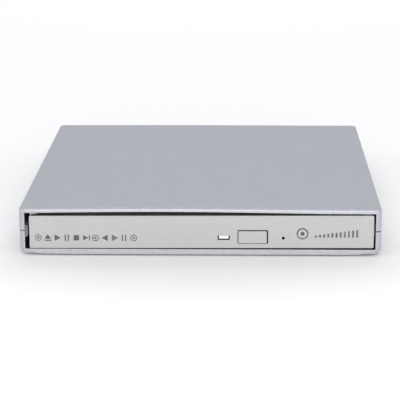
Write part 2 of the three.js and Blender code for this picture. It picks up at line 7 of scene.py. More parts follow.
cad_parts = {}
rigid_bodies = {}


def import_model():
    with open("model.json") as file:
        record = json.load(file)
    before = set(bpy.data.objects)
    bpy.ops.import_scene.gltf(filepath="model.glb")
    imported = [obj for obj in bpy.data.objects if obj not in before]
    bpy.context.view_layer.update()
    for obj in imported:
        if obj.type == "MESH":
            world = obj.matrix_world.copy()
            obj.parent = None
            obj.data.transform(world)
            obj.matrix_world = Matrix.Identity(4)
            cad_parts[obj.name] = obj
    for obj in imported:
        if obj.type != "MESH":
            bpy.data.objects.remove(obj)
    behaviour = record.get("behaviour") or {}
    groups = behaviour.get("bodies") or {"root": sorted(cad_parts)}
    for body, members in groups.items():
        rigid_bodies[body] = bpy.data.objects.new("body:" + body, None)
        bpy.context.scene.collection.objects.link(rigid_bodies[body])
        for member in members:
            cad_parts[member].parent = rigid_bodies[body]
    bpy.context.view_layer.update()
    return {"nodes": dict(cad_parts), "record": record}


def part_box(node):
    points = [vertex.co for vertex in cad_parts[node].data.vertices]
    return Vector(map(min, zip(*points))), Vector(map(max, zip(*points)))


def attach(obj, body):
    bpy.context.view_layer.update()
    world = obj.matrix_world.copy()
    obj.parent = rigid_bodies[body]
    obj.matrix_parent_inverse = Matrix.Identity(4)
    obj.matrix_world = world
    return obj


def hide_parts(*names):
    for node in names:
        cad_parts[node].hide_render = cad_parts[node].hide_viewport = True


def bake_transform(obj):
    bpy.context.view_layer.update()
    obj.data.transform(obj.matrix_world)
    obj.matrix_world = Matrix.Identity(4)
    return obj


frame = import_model()
scene = bpy.context.scene
mm = 0.001
print("frame loaded")


cameraView = {
    "place": (15.3, -629.4, 178.5),
    "yaw": -1.56,  # degrees, positive turns to the right
    "pitch": 15.64,  # degrees below the horizon
    "roll": -0.24,
    "lens": 139.1,
}


def buildCamera(view):
    yaw, pitch, roll = (math.radians(view[key]) for key in ("yaw", "pitch", "roll"))
    forward = Vector((math.sin(yaw) * math.cos(pitch), math.cos(yaw) * math.cos(pitch), -math.sin(pitch)))
    level = Vector((math.cos(yaw), -math.sin(yaw), 0))
    right = math.cos(roll) * level + math.sin(roll) * level.cross(forward)
    up = right.cross(forward)
    turn = Matrix((right, up, -forward)).transposed().to_4x4()
    data = bpy.data.cameras.new("camera")
    data.lens = view["lens"]
    data.sensor_width = 36
    data.clip_start = 0.01
    camera = bpy.data.objects.new("camera", data)
    camera.matrix_world = Matrix.Translation(Vector(view["place"]) * mm) @ turn
    scene.collection.objects.link(camera)
    scene.camera = camera


studio = {
    "worldColour": (0.98, 0.985, 1.0),
    "worldStrength": 0.64,
    "floorColour": (0.99, 0.985, 0.98),
    "paintedFloorShadow": (0.84, 0.838, 0.83),  # painted shadow: the paper is painted darker along the front of the drive
    "shadeCentre": (0, -0.076),
    "shadeReach": (0.125, 0.062),
    "floorSize": 6.0,
    "lights": {
        # name: place, aim, size, watts, colour
        "frontLight": ((0.1, -1.6, 0.5), (0, 0, 0.01), 1.1, 20.0, (1.0, 0.984, 0.955)),
        "topLight": ((-0.1, 0.15, 1.6), (0, 0, 0), 1.6, 0.9, (0.3, 0.55, 1.0)),
        "backdropLight": ((0, 1.3, 1.1), (0, 1.25, 0), 1.3, 6.8, (0.97, 0.98, 1.0)),
        "leftLight": ((-1.3, -0.9, 0.7), (0, 0, 0.01), 0.9, 3.6, (1.0, 1.0, 1.0)),
        "rightLight": ((1.4, -0.9, 0.6), (0, 0, 0.01), 0.9, 3.6, (1.0, 1.0, 1.0)),
    },
}


def buildStudio(look):
    world = bpy.data.worlds.new("softWhite")
    world.use_nodes = True
    background = world.node_tree.nodes["Background"]
    background.inputs["Color"].default_value = (*look["worldColour"], 1)
    background.inputs["Strength"].default_value = look["worldStrength"]
    scene.world = world
    for name, (place, aim, size, watts, colour) in look["lights"].items():
        data = bpy.data.lights.new(name, "AREA")
        data.size = size
        data.energy = watts
        data.color = colour
        lamp = bpy.data.objects.new(name, data)
        lamp.location = place
        lamp.rotation_euler = (Vector(aim) - Vector(place)).to_track_quat("-Z", "Y").to_euler()
        scene.collection.objects.link(lamp)
    half = look["floorSize"] / 2
    floorMesh = bpy.data.meshes.new("floor")
    corners = [(-half, -half, 0), (half, -half, 0), (half, half, 0), (-half, half, 0)]
    floorMesh.from_pydata(corners, [], [(0, 1, 2, 3)])
    floor = bpy.data.objects.new("floor", floorMesh)
    scene.collection.objects.link(floor)
    paper = bpy.data.materials.new("floorPaper")
    paper.use_nodes = True
    tree = paper.node_tree
    shader = tree.nodes["Principled BSDF"]
    shader.inputs["Roughness"].default_value = 0.9
    # painted shadow: the paper's colour darkens towards the front of the drive and fades out at the shade
    # reach
    where = tree.nodes.new("ShaderNodeTexCoord")
    placed = tree.nodes.new("ShaderNodeMapping")
    placed.vector_type = "TEXTURE"
    placed.inputs["Location"].default_value = (*look["shadeCentre"], 0)
    placed.inputs["Scale"].default_value = (*look["shadeReach"], 1)
    distance = tree.nodes.new("ShaderNodeVectorMath")
    distance.operation = "LENGTH"
    fade = tree.nodes.new("ShaderNodeMapRange")
    fade.interpolation_type = "SMOOTHSTEP"
    fade.inputs["From Min"].default_value = 0.2
    shade = tree.nodes.new("ShaderNodeMix")
    shade.data_type = "RGBA"
    shade.inputs[6].default_value = (*look["paintedFloorShadow"], 1)
    shade.inputs[7].default_value = (*look["floorColour"], 1)
    tree.links.new(where.outputs["Object"], placed.inputs["Vector"])
    tree.links.new(placed.outputs["Vector"], distance.inputs[0])
    tree.links.new(distance.outputs["Value"], fade.inputs["Value"])
    tree.links.new(fade.outputs["Result"], shade.inputs[0])
    tree.links.new(shade.outputs[2], shader.inputs["Base Color"])
    floorMesh.materials.append(paper)
    scene.view_settings.view_transform = "Standard"


buildCamera(cameraView)
buildStudio(studio)
print("camera and studio ready")


def newGroup(name, inputs, outputs):
    group = bpy.data.node_groups.new(name, "ShaderNodeTree")
    for socket, value in inputs.items():
        made = group.interface.new_socket(name=socket, in_out="INPUT", socket_type="NodeSocketFloat")
        made.default_value = value
    for socket in outputs:
        group.interface.new_socket(name=socket, in_out="OUTPUT", socket_type="NodeSocketFloat")
    return group, group.nodes.new("NodeGroupInput"), group.nodes.new("NodeGroupOutput")


def noiseNode(tree, detail, roughness=0.5):
    node = tree.nodes.new("ShaderNodeTexNoise")
    node.inputs["Detail"].default_value = detail
    node.inputs["Roughness"].default_value = roughness
    return node


def rangeNode(tree, fromLow, fromHigh, toLow=0.0, toHigh=1.0):
    node = tree.nodes.new("ShaderNodeMapRange")
    values = {"From Min": fromLow, "From Max": fromHigh, "To Min": toLow, "To Max": toHigh}
    for socket, value in values.items():
        node.inputs[socket].default_value = value
    return node


def mathNode(tree, operation, second=None):
    node = tree.nodes.new("ShaderNodeMath")
    node.operation = operation
    if second is not None:
        node.inputs[1].default_value = second
    return node


textures = {
    "peelScale": 900.0,
    "wornEdges": (0.52, 0.6),  # pointiness
    "breakScale": 220.0,
    "breaks": (0.42, 0.62),
    "facingUp": (0.6, 1.0),
    "speckScale": 380.0,
    "specks": (0.56, 0.74),
    "trackEdge": (0.2, 0.26),
    "padEdge": (0.2, 0.17),
    "unrouted": 0.35,  # share of the board without tracks
}


def perMetre(group, size):
    # a size in millimetres as the scale that a texture takes
    scale = mathNode(group, "DIVIDE")
    scale.inputs[0].default_value = 1000.0
    group.links.new(size, scale.inputs[1])
    return scale.outputs[0]


def fixedNoise(group, where, scale, detail, roughness=0.5):
    node = noiseNode(group, detail, roughness)
    node.inputs["Scale"].default_value = scale
    group.links.new(where, node.inputs["Vector"])
    return node.outputs["Fac"]


def sizedTexture(group, node, where, size):
    group.links.new(where, node.inputs["Vector"])
    group.links.new(perMetre(group, size), node.inputs["Scale"])
    return node


def channels(group, colour):
    node = group.nodes.new("ShaderNodeSeparateColor")
    group.links.new(colour, node.inputs[0])
    return node.outputs


def ranged(group, value, low, high):
    # a mask that rises from 0 at low to 1 at high
    node = rangeNode(group, low, high)
    group.links.new(value, node.inputs["Value"])
    return node.outputs[0]


def product(group, first, second):
    node = mathNode(group, "MULTIPLY")
    group.links.new(first, node.inputs[0])
    group.links.new(second, node.inputs[1])
    return node.outputs[0]


def flakeGroup():
    # fine metal flake: each cell of a small mosaic is a little lighter or darker than the next
    inputs = {"Flake Size": 0.12, "Cloud Size": 25.0}
    group, start, end = newGroup("metalFlake", inputs, ["Flake", "Cloud", "Orange Peel"])
    where = group.nodes.new("ShaderNodeTexCoord").outputs["Object"]
    cells = group.nodes.new("ShaderNodeTexVoronoi")
    sizedTexture(group, cells, where, start.outputs["Flake Size"])
    group.links.new(channels(group, cells.outputs["Color"])[0], end.inputs["Flake"])
    cloud = sizedTexture(group, noiseNode(group, 3.0), where, start.outputs["Cloud Size"])
    group.links.new(cloud.outputs["Fac"], end.inputs["Cloud"])
    group.links.new(fixedNoise(group, where, textures["peelScale"], 1.0), end.inputs["Orange Peel"])
    return group


def grainGroup():
    # the fine, even texture of a moulded or etched surface, with a slow change of tone
    group, start, end = newGroup("mouldGrain", {"Grain Size": 0.25, "Cloud Size": 12.0}, ["Grain", "Cloud"])
    where = group.nodes.new("ShaderNodeTexCoord").outputs["Object"]
    for socket, detail in (("Grain", 4.0), ("Cloud", 3.0)):
        texture = sizedTexture(group, noiseNode(group, detail, 0.6), where, start.outputs[socket + " Size"])
        group.links.new(texture.outputs["Fac"], end.inputs[socket])
    return group


def rolledGroup():
    # rolling lines of sheet metal, long in one direction, and the soft spangle of zinc
    inputs = {"Line Size": 0.08, "Line Length": 12.0, "Spangle Size": 2.2}
    group, start, end = newGroup("rolledSheet", inputs, ["Lines", "Spangle"])
    where = group.nodes.new("ShaderNodeTexCoord").outputs["Object"]
    squeeze = group.nodes.new("ShaderNodeCombineXYZ")
    for axis, socket in (("X", "Line Size"), ("Y", "Line Length"), ("Z", "Line Size")):
        group.links.new(perMetre(group, start.outputs[socket]), squeeze.inputs[axis])
    stretched = group.nodes.new("ShaderNodeVectorMath")
    stretched.operation = "MULTIPLY"
    group.links.new(where, stretched.inputs[0])
    group.links.new(squeeze.outputs[0], stretched.inputs[1])
    group.links.new(fixedNoise(group, stretched.outputs[0], 1.0, 3.0), end.inputs["Lines"])
    spangle = group.nodes.new("ShaderNodeTexVoronoi")
    sizedTexture(group, spangle, where, start.outputs["Spangle Size"])
    group.links.new(channels(group, spangle.outputs["Color"])[0], end.inputs["Spangle"])
    return group


def wearGroup():
    # where handling polishes the edges, broken up by noise, and where dust settles
    group, start, end = newGroup("wearAndDust", {"Wear": 0.5, "Dust": 0.3}, ["Edge Wear", "Dust"])
    where = group.nodes.new("ShaderNodeTexCoord").outputs["Object"]
    shape = group.nodes.new("ShaderNodeNewGeometry")
    sharp = ranged(group, shape.outputs["Pointiness"], *textures["wornEdges"])
    breaks = fixedNoise(group, where, textures["breakScale"], 5.0, 0.65)
    broken = ranged(group, breaks, *textures["breaks"])
    worn = product(group, product(group, sharp, broken), start.outputs["Wear"])
    group.links.new(worn, end.inputs["Edge Wear"])
    facing = group.nodes.new("ShaderNodeSeparateXYZ")
    group.links.new(shape.outputs["Normal"], facing.inputs[0])
    upward = ranged(group, facing.outputs["Z"], *textures["facingUp"])
    specks = fixedNoise(group, where, textures["speckScale"], 8.0, 0.75)
    specks = ranged(group, specks, *textures["specks"])
    dusty = product(group, product(group, upward, specks), start.outputs["Dust"])
    group.links.new(dusty, end.inputs["Dust"])
    return group


def conductorGroup():
    # copper under varnish: straight runs of tracks that change direction from patch to patch, and pads
    inputs = {"Pitch": 0.6, "Patch Size": 7.0, "Pad Pitch": 2.4}
    group, start, end = newGroup("conductors", inputs, ["Runs", "Tracks", "Pads"])
    where = group.nodes.new("ShaderNodeTexCoord").outputs["Object"]
    axes = group.nodes.new("ShaderNodeSeparateXYZ")
    group.links.new(where, axes.inputs[0])
    pitch = perMetre(group, start.outputs["Pitch"])
    stripes = {}
    for axis in ("X", "Y"):
        wave = mathNode(group, "PINGPONG", 0.5)
        group.links.new(product(group, axes.outputs[axis], pitch), wave.inputs[0])
        stripes[axis] = ranged(group, wave.outputs[0], *textures["trackEdge"])
    group.links.new(stripes["X"], end.inputs["Runs"])
    cells = {}
    for name, socket in (("patch", "Patch Size"), ("pad", "Pad Pitch")):
        cells[name] = group.nodes.new("ShaderNodeTexVoronoi")
        cells[name].distance = "CHEBYCHEV"
        sizedTexture(group, cells[name], where, start.outputs[socket])
    pick = channels(group, cells["patch"].outputs["Color"])
    turned = mathNode(group, "GREATER_THAN", 0.5)
    group.links.new(pick[0], turned.inputs[0])
    chosen = group.nodes.new("ShaderNodeMix")
    group.links.new(turned.outputs[0], chosen.inputs[0])
    group.links.new(stripes["X"], chosen.inputs[2])
    group.links.new(stripes["Y"], chosen.inputs[3])
    routed = mathNode(group, "GREATER_THAN", textures["unrouted"])
    group.links.new(pick[1], routed.inputs[0])
    group.links.new(product(group, chosen.outputs[0], routed.outputs[0]), end.inputs["Tracks"])
    pads = ranged(group, cells["pad"].outputs["Distance"], *textures["padEdge"])
    group.links.new(pads, end.inputs["Pads"])
    return group


effects = {
    "conductors": conductorGroup(),
    "flake": flakeGroup(),
    "grain": grainGroup(),
    "rolled": rolledGroup(),
    "wear": wearGroup(),
}


def startMaterial(name, look):
    material = bpy.data.materials.new(name)
    material.use_nodes = True
    shader = material.node_tree.nodes["Principled BSDF"]
    shader.inputs["Metallic"].default_value = look.get("metallic", 0.0)
    shader.inputs["Coat Weight"].default_value = look.get("coat", 0.0)
    shader.inputs["Coat Roughness"].default_value = look.get("coatRoughness", 0.1)
    shader.inputs["IOR"].default_value = look.get("ior", 1.5)
    shader.inputs["Transmission Weight"].default_value = look.get("clear", 0.0)
    return material, material.node_tree, shader


def placeEffect(tree, effect, values):
    node = tree.nodes.new("ShaderNodeGroup")
    node.node_tree = effects[effect]
    for socket, value in values.items():
        node.inputs[socket].default_value = value
    return node


def mixColours(tree, mask, first, second):
    # first and second are a colour, or a socket that gives one
    mix = tree.nodes.new("ShaderNodeMix")
    mix.data_type = "RGBA"
    tree.links.new(mask, mix.inputs[0])
    for index, value in ((6, first), (7, second)):
        if isinstance(value, tuple):
            mix.inputs[index].default_value = (*value, 1)
        else:
            tree.links.new(value, mix.inputs[index])
    return mix.outputs[2]


def driveRoughness(tree, shader, mask, low, high):
    spread = rangeNode(tree, 0.3, 0.7, low, high)
    tree.links.new(mask, spread.inputs["Value"])
    tree.links.new(spread.outputs[0], shader.inputs["Roughness"])


def bumpFrom(tree, shader, height, depth):
    bump = tree.nodes.new("ShaderNodeBump")
    bump.inputs["Strength"].default_value = 1.0
    bump.inputs["Distance"].default_value = depth * mm
    tree.links.new(height, bump.inputs["Height"])
    tree.links.new(bump.outputs["Normal"], shader.inputs["Normal"])


def wornSurface(tree, shader, look, base):
    # edges polished by handling, and dust on what faces up
    wear = placeEffect(tree, "wear", {"Wear": look["wear"], "Dust": look["dust"]})
    worn = mixColours(tree, wear.outputs["Edge Wear"], base, look["worn"])
    dusty = mixColours(tree, wear.outputs["Dust"], worn, look["dustColour"])
    tree.links.new(dusty, shader.inputs["Base Color"])


def flakePaint(name, look):
    material, tree, shader = startMaterial(name, look)
    flake = placeEffect(tree, "flake", {"Flake Size": look["flakeSize"]})
    base = mixColours(tree, flake.outputs["Flake"], look["dark"], look["light"])
    clouded = mixColours(tree, flake.outputs["Cloud"], base, look["cloud"])
    soft = tree.nodes.new("ShaderNodeMix")
    soft.data_type = "RGBA"
    soft.inputs[0].default_value = look["cloudiness"]
    tree.links.new(base, soft.inputs[6])
    tree.links.new(clouded, soft.inputs[7])
    wornSurface(tree, shader, look, soft.outputs[2])
    driveRoughness(tree, shader, flake.outputs["Flake"], *look["roughness"])
    bumpFrom(tree, shader, flake.outputs["Orange Peel"], look["peelDepth"])
    return material


def mouldedPlastic(name, look):
    material, tree, shader = startMaterial(name, look)
    grain = placeEffect(tree, "grain", {"Grain Size": look["grainSize"]})
    base = mixColours(tree, grain.outputs["Cloud"], look["dark"], look["light"])
    wornSurface(tree, shader, look, base)
    driveRoughness(tree, shader, grain.outputs["Cloud"], *look["roughness"])
    bumpFrom(tree, shader, grain.outputs["Grain"], look["grainDepth"])
    return material


def sheetMetal(name, look):
    material, tree, shader = startMaterial(name, look)
    rolled = placeEffect(tree, "rolled", {"Line Size": look["lineSize"], "Spangle Size": look["spangleSize"]})
    base = mixColours(tree, rolled.outputs["Spangle"], look["dark"], look["light"])
    wornSurface(tree, shader, look, base)
    driveRoughness(tree, shader, rolled.outputs["Lines"], *look["roughness"])
    bumpFrom(tree, shader, rolled.outputs["Lines"], look["lineDepth"])
    return material


def printedCircuit(name, look):
    # a varnished board or film with its copper showing through
    material, tree, shader = startMaterial(name, look)
    grain = placeEffect(tree, "grain", {"Grain Size": look["grainSize"]})
    copper = placeEffect(tree, "conductors", {"Pitch": look["pitch"]})
    base = mixColours(tree, grain.outputs["Cloud"], look["dark"], look["light"])
    tracked = mixColours(tree, copper.outputs[look["pattern"]], base, look["track"])
    if look["pads"]:
        tracked = mixColours(tree, copper.outputs["Pads"], tracked, look["tin"])
        tree.links.new(copper.outputs["Pads"], shader.inputs["Metallic"])
    tree.links.new(tracked, shader.inputs["Base Color"])
    driveRoughness(tree, shader, grain.outputs["Cloud"], *look["roughness"])
    bumpFrom(tree, shader, copper.outputs[look["pattern"]], look["trackDepth"])
    return material


silverLook = {
    "metallic": 0.3,
    "coat": 0.02,
    "coatRoughness": 0.4,
    "ior": 1.36,
    "flakeSize": 0.27,
    "dark": (0.322, 0.329, 0.364),
    "light": (0.464, 0.473, 0.519),
    "cloud": (0.388, 0.395, 0.434),
    "worn": (0.58, 0.58, 0.59),
    "roughness": (0.38, 0.5),
    "peelDepth": 0.004,
    "wear": 0.35,
    "dust": 0.04,
    "dustColour": (0.62, 0.61, 0.59),
    "cloudiness": 0.25,
}
frontPaintLook = {
    **silverLook,
    "flakeSize": 0.12,
    "dark": (0.35, 0.352, 0.352),
    "light": (0.44, 0.442, 0.442),
    "cloud": (0.4, 0.402, 0.402),
    "dust": 0.0,
}
bareShellLook = {
    "grainSize": 0.3,
    "grainDepth": 0.015,
    "dark": (0.022, 0.0225, 0.024),
    "light": (0.04, 0.041, 0.043),
    "worn": (0.1, 0.1, 0.102),
    "roughness": (0.5, 0.65),
    "wear": 0.5,
    "dust": 0.1,
    "dustColour": (0.4, 0.39, 0.37),
}
blackPlasticLook = {
    "grainSize": 0.22,
    "grainDepth": 0.012,
    "dark": (0.0145, 0.015, 0.016),
    "light": (0.0215, 0.022, 0.0235),
    "worn": (0.09, 0.09, 0.092),
    "roughness": (0.42, 0.52),
    "wear": 0.6,
    "dust": 0.12,
    "dustColour": (0.4, 0.39, 0.37),
}
greyPlasticLook = {
    **blackPlasticLook,
    "grainSize": 0.16,
    "dark": (0.1, 0.103, 0.11),
    "light": (0.16, 0.165, 0.175),
    "worn": (0.3, 0.3, 0.31),
}
zincLook = {
    "metallic": 1.0,
    "lineSize": 0.09,
    "spangleSize": 1.8,
    "lineDepth": 0.003,
    "dark": (0.53, 0.54, 0.55),
    "light": (0.65, 0.66, 0.67),
    "worn": (0.8, 0.8, 0.8),
    "roughness": (0.28, 0.4),
    "wear": 0.5,
    "dust": 0.06,
    "dustColour": (0.45, 0.44, 0.42),
}
brightSteelLook = {
    **zincLook,
    "lineSize": 0.05,
    "spangleSize": 0.6,
    "dark": (0.62, 0.63, 0.64),
    "light": (0.74, 0.75, 0.76),
    "roughness": (0.12, 0.24),
    "lineDepth": 0.001,
}
blackSteelLook = {
    **zincLook,
    "metallic": 0.3,
    "spangleSize": 0.3,
    "dark": (0.022, 0.022, 0.023),
    "light": (0.029, 0.029, 0.031),
    "worn": (0.25, 0.25, 0.26),
    "roughness": (0.4, 0.48),
    "lineDepth": 0.002,
}
rubberLook = {
    **blackPlasticLook,
    "grainSize": 0.3,
    "grainDepth": 0.02,
    "dark": (0.014, 0.014, 0.014),
    "light": (0.024, 0.024, 0.024),
    "worn": (0.05, 0.05, 0.05),
    "roughness": (0.75, 0.9),
    "dust": 0.35,
}
copperLook = {
    **zincLook,
    "lineSize": 0.12,
    "spangleSize": 0.4,
    "dark": (0.42, 0.17, 0.07),
    "light": (0.6, 0.27, 0.12),
    "worn": (0.75, 0.4, 0.2),
    "roughness": (0.25, 0.38),
}
boardLook = {
    "grainSize": 1.4,
    "coat": 0.3,
    "pattern": "Tracks",
    "pitch": 0.7,
    "trackDepth": 0.02,
    "pads": True,
    "dark": (0.008, 0.06, 0.03),
    "light": (0.012, 0.085, 0.042),
    "track": (0.03, 0.16, 0.075),
    "tin": (0.62, 0.6, 0.54),
    "roughness": (0.3, 0.42),
}
chipLook = {
    **blackPlasticLook,
    "grainSize": 0.1,
    "dark": (0.016, 0.016, 0.017),
    "light": (0.026, 0.026, 0.027),
}
filmLook = {
    **boardLook,
    "grainSize": 0.8,
    "pattern": "Runs",
    "pitch": 0.8,
    "trackDepth": 0.01,
    "pads": False,
    "dark": (0.3, 0.115, 0.018),
    "light": (0.42, 0.18, 0.035),
    "track": (0.55, 0.25, 0.07),
    "roughness": (0.22, 0.34),
}
clearLook = {
    "grainSize": 0.5,
    "grainDepth": 0.003,
    "dark": (0.55, 0.57, 0.58),
    "light": (0.63, 0.65, 0.66),
    "worn": (0.95, 0.95, 0.95),
    "roughness": (0.16, 0.28),
    "wear": 0.2,
    "dust": 0.0,
    "dustColour": (0.4, 0.39, 0.37),
}
stiffenerLook = {
    **blackPlasticLook,
    "grainDepth": 0.003,
    "dark": (0.02, 0.06, 0.22),
    "light": (0.03, 0.09, 0.3),
    "worn": (0.1, 0.2, 0.4),
    "roughness": (0.3, 0.4),
}
printLook = {
    **blackPlasticLook,
    "grainSize": 0.12,
    "grainDepth": 0.002,
    "dark": (0.045, 0.047, 0.05),
    "light": (0.07, 0.073, 0.076),
    "worn": (0.2, 0.2, 0.21),
    "dust": 0.0,
}
labelLook = {
    **clearLook,
    "dark": (0.57, 0.575, 0.58),
    "light": (0.61, 0.615, 0.62),
    "roughness": (0.3, 0.4),
}
lensLook = {
    **clearLook,
    "coat": 1.0,
    "ior": 1.55,
    "dark": (0.05, 0.07, 0.2),
    "light": (0.12, 0.1, 0.32),
    "roughness": (0.02, 0.05),
}

materials = {
    "silver_paint": flakePaint("silverPaint", silverLook),
    "frontPaint": flakePaint("frontPaint", frontPaintLook),
    "bareShell": mouldedPlastic("bareShell", bareShellLook),
    "black_plastic": mouldedPlastic("blackPlastic", blackPlasticLook),
    "grey_plastic": mouldedPlastic("greyPlastic", greyPlasticLook),
    "zinc_steel": sheetMetal("zincSteel", zincLook),
    "bright_steel": sheetMetal("brightSteel", brightSteelLook),
    "black_steel": sheetMetal("blackSteel", blackSteelLook),
    "rubber": mouldedPlastic("rubber", rubberLook),
    "circuit_board": printedCircuit("circuitBoard", boardLook),
    "chip_black": mouldedPlastic("chipBlack", chipLook),
    "amber_film": printedCircuit("amberFilm", filmLook),
    "clear_plastic": mouldedPlastic("clearPlastic", clearLook),
    "copper": sheetMetal("copper", copperLook),
    "lens_glass": mouldedPlastic("lensGlass", lensLook),
    "film_blue": mouldedPlastic("blueStiffener", stiffenerLook),
    "print": mouldedPlastic("printInk", printLook),
    "label": mouldedPlastic("labelFilm", labelLook),
}
print("materials ready")


def pieceFromMesh(name, mesh, slot, body, nodes=(), paint=None):
    piece = bpy.data.objects.new(name, mesh)
    scene.collection.objects.link(piece)
    mesh.materials.clear()
    mesh.materials.append(materials[paint or slot])
    mesh.shade_smooth()
    if nodes:
        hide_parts(*nodes)
    if body:
        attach(piece, body)
    return piece


def meshFromRings(name, rings, closed=False):
    # rings of equal length, joined by quads; the ends are capped unless the rings close on themselves
    count = len(rings[0])
    vertices = [Vector(point) * mm for ring in rings for point in ring]
    faces = []
    pairs = len(rings) if closed else len(rings) - 1
    for step in range(pairs):
        low = step * count
        high = ((step + 1) % len(rings)) * count
        for index in range(count):
            after = (index + 1) % count
            faces.append((low + index, low + after, high + after, high + index))
    if not closed:
        faces.append(tuple(reversed(range(count))))
        last = (len(rings) - 1) * count
        faces.append(tuple(range(last, last + count)))
    mesh = bpy.data.meshes.new(name)
    mesh.from_pydata(vertices, [], faces)
    tidyNormals(mesh)
    return mesh


def tidyNormals(mesh):
    work = bmesh.new()
    work.from_mesh(mesh)
    bmesh.ops.remove_doubles(work, verts=work.verts, dist=1e-7)
    bmesh.ops.recalc_face_normals(work, faces=work.faces)
    work.to_mesh(mesh)
    work.free()


def turnedMesh(name, profile, centre=(0, 0), sides=64):
    # a profile of (radius, height) turned about a line along Z; it starts and ends on the axis
    rings = []
    for index in range(sides):
        angle = 2 * math.pi * index / sides
        ring = []
        for radius, height in profile:
            ring.append((centre[0] + radius * math.cos(angle), centre[1] + radius * math.sin(angle), height))
        rings.append(ring)
    return meshFromRings(name, rings, closed=True)


def blockMesh(name, xRange, yRange, zRange):
    x0, x1 = xRange
    y0, y1 = yRange
    z0, z1 = zRange
    low = [(x0, y0, z0), (x1, y0, z0), (x1, y1, z0), (x0, y1, z0)]
    high = [(x, y, z1) for x, y, z in low]
    return meshFromRings(name, [low, high])


def cutAway(piece, meshes):
    # cut these solids out of the piece, all at once; the cut faces are bare plastic
    tools = bpy.data.collections.new("tools")
    for mesh in meshes:
        mesh.materials.append(materials["bareShell"])
        tools.objects.link(bpy.data.objects.new("tool", mesh))
    modifier = piece.modifiers.new("cut", "BOOLEAN")
    modifier.operation = "DIFFERENCE"
    modifier.material_mode = "TRANSFER"
    modifier.solver = "EXACT"
    modifier.operand_type = "COLLECTION"
    modifier.collection = tools
    applyModifiers(piece)
    for tool in list(tools.objects):
        bpy.data.objects.remove(tool)
    bpy.data.collections.remove(tools)


def applyModifiers(piece):
    bpy.context.view_layer.update()
    made = bpy.data.meshes.new_from_object(piece.evaluated_get(bpy.context.evaluated_depsgraph_get()))
    piece.modifiers.clear()
    old = piece.data
    piece.data = made
    bpy.data.meshes.remove(old)


def softenEdges(piece, width, segments=2, angle=32):
    bevel = piece.modifiers.new("softEdges", "BEVEL")
    bevel.width = width * mm
    bevel.segments = segments
    bevel.limit_method = "ANGLE"
    bevel.angle_limit = math.radians(angle)
    piece.data.shade_smooth()
    smoothByAngle(piece, angle)


def smoothByAngle(piece, angle):
    piece.data.set_sharp_from_angle(angle=math.radians(angle))


def arc(centre, radius, startDegrees, endDegrees, steps):
    points = []
    for index in range(steps + 1):
        angle = math.radians(startDegrees + (endDegrees - startDegrees) * index / steps)
        points.append((centre[0] + radius * math.cos(angle), centre[1] + radius * math.sin(angle)))
    return points


def outlineRing(halfX, halfY, radius, height, sideSteps=24, cornerSteps=8):
    # a rounded rectangle at one height, with points along its straight sides too
    corners = [(1, -1, -90), (1, 1, 0), (-1, 1, 90), (-1, -1, 180)]
    points = []
    for index, (signX, signY, startAngle) in enumerate(corners):
        centre = (signX * (halfX - radius), signY * (halfY - radius))
        bend = arc(centre, radius, startAngle, startAngle + 90, cornerSteps)
        nextX, nextY, nextAngle = corners[(index + 1) % 4]
        nextCentre = (nextX * (halfX - radius), nextY * (halfY - radius))
        nextStart = arc(nextCentre, radius, nextAngle, nextAngle, 1)[0]
        points += bend
        for step in range(1, sideSteps):
            share = step / sideSteps
            points.append(tuple(a + (b - a) * share for a, b in zip(bend[-1], nextStart)))
    return [(x, y, height) for x, y in points]


casing = {
    "halfWidth": 68.5,
    "halfDepth": 71.0,
    "corner": 2.2,
    "bottom": 0.95,  # at the sides; the middle hangs lower by the belly
    "belly": 0.45,
    "bellyStart": 55.0,
    "bellyEnd": 66.5,
    "top": 18.5,
    "lowerSeam": 9.63,
    "upperSeam": 10.01,
    "topEdge": 0.9,  # radius of the upper edge
    "chamfer": 0.12,  # of the upper cover at the seam
    "lowerChamfer": 0.1,
    "shoulder": 12.0,  # the crown starts to rise here
    "roofSteps": (1.6, 4, 9, 17, 28, 42, 56),  # insets from the edge
    "floorSteps": (40, 12, 4),
    "sideEdge": 2.1,  # radius of the lower edge at the sides
    "frontEdge": 0.4,  # and at the front and rear
    "edgeBlend": (62.0, 67.0),  # where one gives way to the other
    "crown": 0.34,  # rise of the roof, highest over the front opening
    "crownAt": -12.0,
    "openingLeft": -66.37,
    "openingRight": 66.27,
    "openingFloor": 2.74,
    "openingRoof": 16.76,
    "openingArch": 0.62,
    "archHalf": 62.0,
    "rearInner": 68.8,
    "edge": 0.16,
    "footPocket": (4.5, 1.2),  # radius and height
    "screwWell": [(0, 0), (3.3, 0), (2.9, 1.15), (2.9, 2.0), (1.6, 2.0), (1.6, 4), (0, 4)],
    "usbMouth": ((-24.4, -15.6), (67.5, 73), (4.95, 9.55)),
    "jackMouth": ((0, 7.45), (67.5, 73), 2.2),  # centre, ends and radius
    "labelRecess": ((-34, 34), (-18, 22), (0, 0.66)),
    "label": ((-33.6, 33.6), (-17.6, 21.6), (0.56, 0.68)),
    "tongue": ((1.0, 1.8), (9.62, 10.02), 1.4),  # insets, heights and corner
    "tongueCut": (8, 12),
}
footNames = ("foot_front_left", "foot_front_right", "foot_rear_left", "foot_rear_right")


def archShare(x):
    reach = (x - casing["crownAt"]) / casing["archHalf"]
    return max(0.0, 1 - reach * reach) ** 1.5


def crownAt(x, y):
    towardsFront = 0.7 - 0.3 * y / casing["halfDepth"]
    return casing["crown"] * archShare(x) * towardsFront


def openingTool(low, high):
    # the inside of the casing from its front mouth to the rear wall, under an arched roof
    left, right = casing["openingLeft"], casing["openingRight"]
    outline = [(left, low), (right, low)]
    if high is None:
        steps = 40
        for index in range(steps + 1):
            x = right + (left - right) * index / steps
            outline.append((x, casing["openingRoof"] + casing["openingArch"] * archShare(x)))
    else:
        outline += [(right, high), (left, high)]
    ends = (-casing["halfDepth"] - 2, casing["rearInner"])
    return meshFromRings("opening", [[(x, y, z) for x, z in outline] for y in ends])


